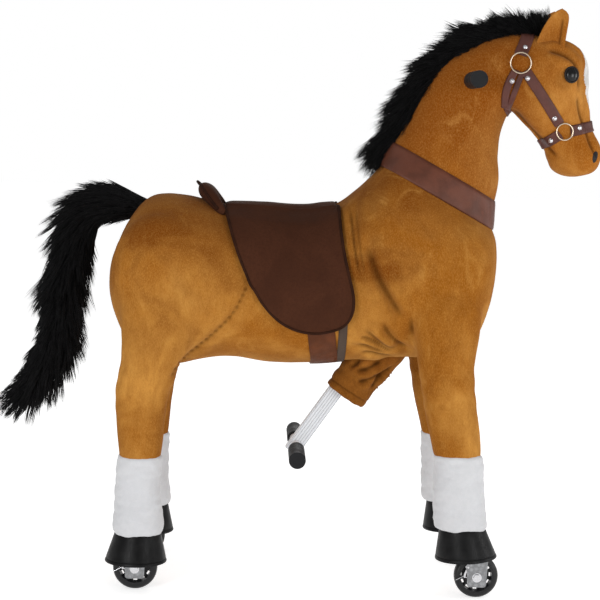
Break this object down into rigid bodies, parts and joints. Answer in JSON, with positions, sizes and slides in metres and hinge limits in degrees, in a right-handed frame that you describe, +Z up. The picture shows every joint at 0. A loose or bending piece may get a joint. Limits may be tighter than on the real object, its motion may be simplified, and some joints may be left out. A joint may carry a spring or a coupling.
{
  "type": "plush ride-on horse",
  "caption": "Plush ride-on horse on one-way wheels: standing on the foot bar spreads the leg pairs, a spring closes them, and the neck steers with a handlebar.",
  "frame": {"origin": "on the floor, under the middle of the overall length and width", "axes": "+X towards the head, +Y to the horse's left, +Z up"},
  "size_m": [1.15, 0.38, 1.123],
  "materials": {
    "plush_tan": "short golden-brown plush with a nap",
    "plush_white": "short white plush",
    "hair_black": "long black faux fur",
    "suede_dark": "dark brown suede leatherette with piping",
    "strap_brown": "smooth red-brown leatherette",
    "webbing": "woven brown webbing",
    "steel": "zinc-plated steel",
    "frame_paint": "dark powder coat",
    "white_paint": "white powder coat",
    "spring_steel": "bright wire",
    "nylon": "natural nylon",
    "wood": "plywood",
    "rubber_black": "ribbed black rubber",
    "hoof_black": "glossy black moulding",
    "tyre_black": "black polyurethane",
    "core_black": "black nylon core",
    "eye_black": "polished black",
    "ring_metal": "pale gold plate"
  },
  "bodies": {
    "trunk": {"chassis": "frame_paint", "bushes": "nylon", "saddle_board": "wood", "saddle_seat": "suede_dark", "saddle_flaps": "suede_dark", "saddle_cantle": "suede_dark", "girth_strap": "strap_brown", "cinch_strap": "webbing", "torso_plush": "plush_tan", "tail": "hair_black", "return_spring": "spring_steel"},
    "front_legs": {"front_leg_frame": "frame_paint", "foot_bar": "white_paint", "foot_peg_rod": "white_paint", "foot_grips": "rubber_black", "foot_bar_sleeve": "plush_tan", "front_leg_plush": "plush_tan", "front_socks": "plush_white", "front_hooves": "hoof_black", "fork_bushes": "nylon"},
    "rear_legs": {"rear_leg_frame": "frame_paint", "rear_leg_plush": "plush_tan", "rear_socks": "plush_white", "rear_hooves": "hoof_black", "rear_forks": "steel", "rear_axles": "steel"},
    "link": {"sync_link": "steel"},
    "neck": {"neck_frame": "frame_paint", "handlebar": "steel", "hand_grips": "rubber_black", "neck_plush": "plush_tan", "chest_collar": "strap_brown", "ears": "plush_tan", "mane": "hair_black", "eyes": "eye_black", "halter_straps": "strap_brown", "halter_rings": "ring_metal", "halter_rivets": "steel"},
    "fork_right": {"front_fork_right": "steel", "front_axle_right": "steel"},
    "fork_left": {"front_fork_left": "steel", "front_axle_left": "steel"},
    "wheel_front_right": {"tyre_front_right": "tyre_black", "core_front_right": "core_black", "bearings_front_right": "steel"},
    "ratchet_front_right": {"pawl_front_right": "steel"},
    "wheel_front_left": {"tyre_front_left": "tyre_black", "core_front_left": "core_black", "bearings_front_left": "steel"},
    "ratchet_front_left": {"pawl_front_left": "steel"},
    "wheel_rear_right": {"tyre_rear_right": "tyre_black", "core_rear_right": "core_black", "bearings_rear_right": "steel"},
    "ratchet_rear_right": {"pawl_rear_right": "steel"},
    "wheel_rear_left": {"tyre_rear_left": "tyre_black", "core_rear_left": "core_black", "bearings_rear_left": "steel"},
    "ratchet_rear_left": {"pawl_rear_left": "steel"}
  },
  "joints": [
    {"name": "front_stride", "type": "hinge", "parent": "trunk", "child": "front_legs", "pos_m": [0.25, 0, 0.63], "axis": [0, -1, 0], "range_deg": [0, 14], "stiffness_Nm_per_rad": 60, "springref_deg": -22.92, "deforming": ["return_spring"]},
    {"name": "rear_stride", "type": "hinge", "parent": "trunk", "child": "rear_legs", "pos_m": [-0.266, 0, 0.614], "axis": [0, 1, 0], "range_deg": [0, 14]},
    {"name": "link_swing", "type": "hinge", "parent": "front_legs", "child": "link", "pos_m": [0.25, 0.026, 0.59], "axis": [0, -1, 0], "range_deg": [-16, 2]},
    {"name": "steer", "type": "hinge", "parent": "trunk", "child": "neck", "pos_m": [0.248, 0, 0.765], "axis": [0.4726, 0, 0.8813], "range_deg": [-20, 20]},
    {"name": "fork_turn_right", "type": "hinge", "parent": "front_legs", "child": "fork_right", "pos_m": [0.329, -0.126, 0.11], "axis": [0, 0, 1], "range_deg": [-20, 20]},
    {"name": "fork_turn_left", "type": "hinge", "parent": "front_legs", "child": "fork_left", "pos_m": [0.329, 0.126, 0.11], "axis": [0, 0, 1], "range_deg": [-20, 20]},
    {"name": "roll_front_right", "type": "hinge", "parent": "fork_right", "child": "wheel_front_right", "pos_m": [0.349, -0.126, 0.042], "axis": [0, 1, 0], "continuous": true},
    {"name": "pawl_lift_front_right", "type": "hinge", "parent": "fork_right", "child": "ratchet_front_right", "pos_m": [0.332, -0.1405, 0.061], "axis": [0, 1, 0], "range_deg": [0, 8], "stiffness_Nm_per_rad": 0.05, "springref_deg": -17.19},
    {"name": "roll_front_left", "type": "hinge", "parent": "fork_left", "child": "wheel_front_left", "pos_m": [0.349, 0.126, 0.042], "axis": [0, 1, 0], "continuous": true},
    {"name": "pawl_lift_front_left", "type": "hinge", "parent": "fork_left", "child": "ratchet_front_left", "pos_m": [0.332, 0.1405, 0.061], "axis": [0, 1, 0], "range_deg": [0, 8], "stiffness_Nm_per_rad": 0.05, "springref_deg": -17.19},
    {"name": "roll_rear_right", "type": "hinge", "parent": "rear_legs", "child": "wheel_rear_right", "pos_m": [-0.301, -0.126, 0.042], "axis": [0, 1, 0], "continuous": true},
    {"name": "pawl_lift_rear_right", "type": "hinge", "parent": "rear_legs", "child": "ratchet_rear_right", "pos_m": [-0.318, -0.1405, 0.061], "axis": [0, 1, 0], "range_deg": [0, 8], "stiffness_Nm_per_rad": 0.05, "springref_deg": -17.19},
    {"name": "roll_rear_left", "type": "hinge", "parent": "rear_legs", "child": "wheel_rear_left", "pos_m": [-0.301, 0.126, 0.042], "axis": [0, 1, 0], "continuous": true},
    {"name": "pawl_lift_rear_left", "type": "hinge", "parent": "rear_legs", "child": "ratchet_rear_left", "pos_m": [-0.318, 0.1405, 0.061], "axis": [0, 1, 0], "range_deg": [0, 8], "stiffness_Nm_per_rad": 0.05, "springref_deg": -17.19}
  ],
  "couplings": [
    {"joint": "rear_stride", "follows": "front_stride", "ratio": 1},
    {"joint": "link_swing", "follows": "front_stride", "ratio": -0.9814},
    {"joint": "fork_turn_right", "follows": "steer", "ratio": 1},
    {"joint": "fork_turn_left", "follows": "steer", "ratio": 1}
  ]
}
